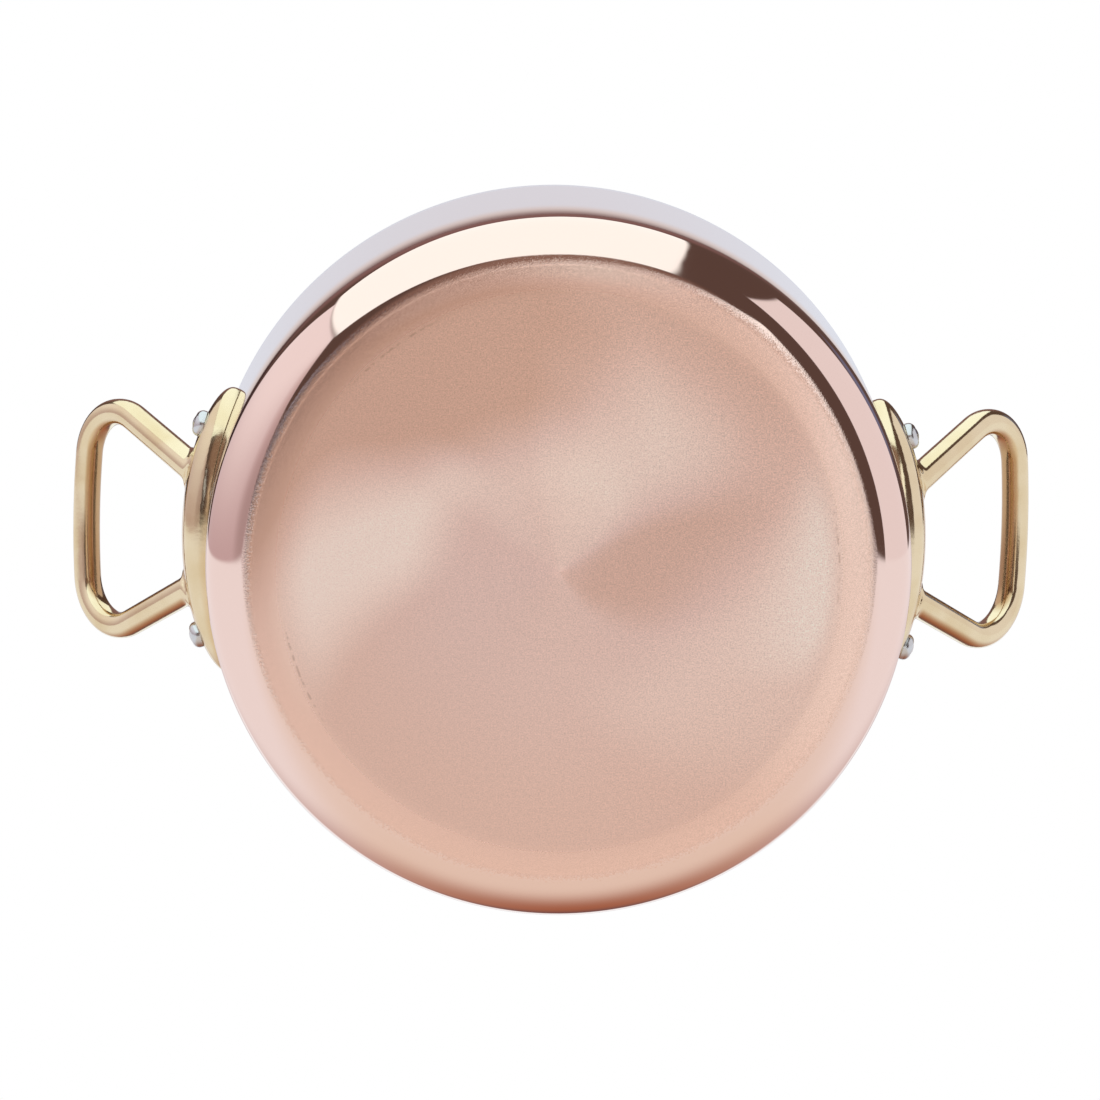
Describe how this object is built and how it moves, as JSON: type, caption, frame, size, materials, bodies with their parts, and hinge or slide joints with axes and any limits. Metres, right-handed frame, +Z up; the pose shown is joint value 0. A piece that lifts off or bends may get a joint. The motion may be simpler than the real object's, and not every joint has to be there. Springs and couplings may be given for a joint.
{
  "type": "stew pan",
  "caption": "Round deep copper stew pan with a flat brushed base, a thin steel lining and riveted brass loop handles that rise outward from opposite sides of the wall.",
  "frame": {"origin": "middle of the underside of the base, on the surface that the pan stands on", "axes": "+Z up through the open top; the loop handles point along +X and -X; -Y is the front of the wall"},
  "size_m": [0.3362, 0.24, 0.1468],
  "materials": {
    "copper": "mirror polished copper wall and edge, base brushed in circles",
    "lining": "satin stainless steel, brushed in circles",
    "brass": "cast and polished brass",
    "rivet": "polished stainless steel"
  },
  "bodies": {
    "root": {"copper_shell": "copper", "steel_lining": "lining", "left_handle": "brass", "right_handle": "brass", "rivet_left_front": "rivet", "rivet_left_back": "rivet", "rivet_right_front": "rivet", "rivet_right_back": "rivet"}
  },
  "joints": []
}
